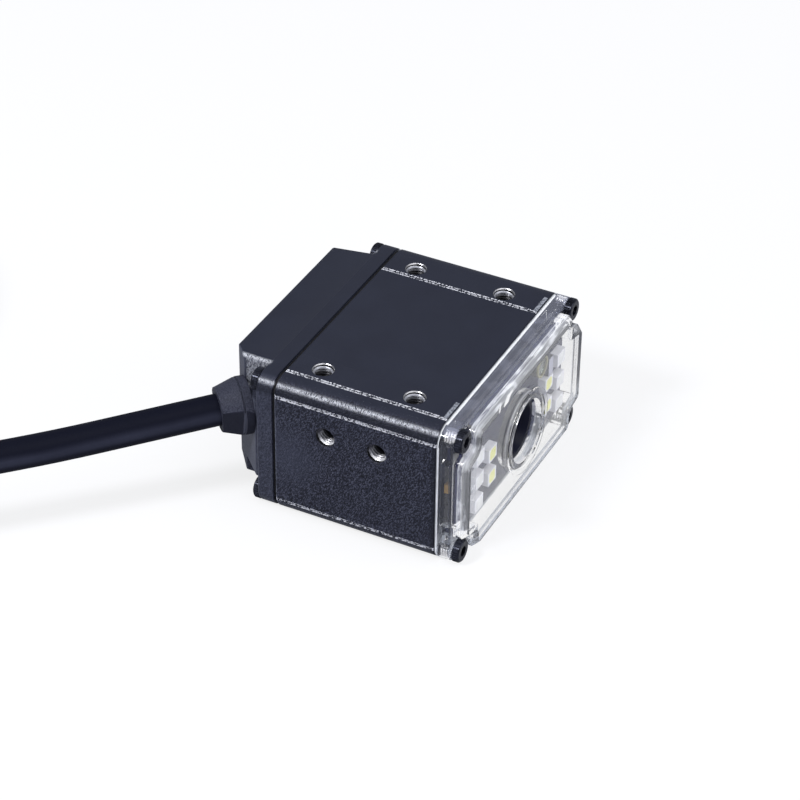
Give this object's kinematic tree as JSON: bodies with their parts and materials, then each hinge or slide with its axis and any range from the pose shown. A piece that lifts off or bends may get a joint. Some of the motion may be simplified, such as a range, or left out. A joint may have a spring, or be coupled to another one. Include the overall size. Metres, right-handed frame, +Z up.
{
  "type": "fixed barcode reader",
  "caption": "Compact fixed-mount 2-D code reader with a clear front window, tapped mounting holes and a corded plug at an angled rear corner.",
  "frame": {"origin": "middle of the underside of the reader without its cord", "axes": "+X along the width, -Y out of the window, +Z up through the top mounting holes"},
  "size_m": [0.0919, 0.171, 0.0234],
  "materials": {
    "dark_coat": "fine matt powder coat on aluminium, dark blue-grey",
    "pale_silicone": "translucent silicone",
    "dark_rubber": "matt",
    "clear_plastic": "clear polycarbonate",
    "black_steel": "black oxide",
    "board": "black solder mask",
    "led_body": "white moulding",
    "phosphor": "yellow phosphor",
    "led_lens": "clear silicone",
    "chip": "epoxy moulding",
    "capacitor": "moulded case",
    "black_plastic": "fine grain",
    "black_metal": "black anodised",
    "optical_glass": "coated",
    "steel": "nickel plated",
    "brass_part": "plated",
    "pale_plastic": "natural nylon",
    "lead_sheath": "smooth",
    "boot_rubber": "matt moulding",
    "cable_sheath": "smooth satin sheath",
    "nickel": "nickel plated brass"
  },
  "bodies": {
    "root": {"housing": "dark_coat", "front_gasket": "pale_silicone", "front_cover": "clear_plastic", "front_screws": "black_steel", "rear_gasket": "dark_rubber", "rear_cover": "dark_coat", "rear_screws": "black_steel", "light_board": "board", "white_leds": "led_body", "white_led_faces": "phosphor", "side_leds": "led_body", "side_led_faces": "led_lens", "driver_chip": "chip", "board_capacitors": "capacitor", "optics_carrier": "black_plastic", "lens_barrel": "black_metal", "lens_front_element": "optical_glass", "lens_lock_ring": "black_metal", "lens_rear_element": "optical_glass", "aimer_tube": "black_metal", "aimer_lens": "optical_glass", "aimer_diode": "steel", "sensor_board": "board", "image_sensor": "chip", "sensor_glass": "optical_glass", "board_spacers": "brass_part", "spacer_screws": "steel", "decoder_board": "board", "processor": "chip", "memory_chip": "chip", "link_connector": "black_plastic", "cable_header": "pale_plastic", "lead_plug": "pale_plastic", "lead_wires": "lead_sheath", "strain_relief": "boot_rubber", "data_cable": "cable_sheath", "cable_coil": "cable_sheath", "plug_grip": "boot_rubber", "plug_nut": "nickel", "plug_insert": "black_plastic", "plug_pins": "brass_part"}
  },
  "joints": []
}
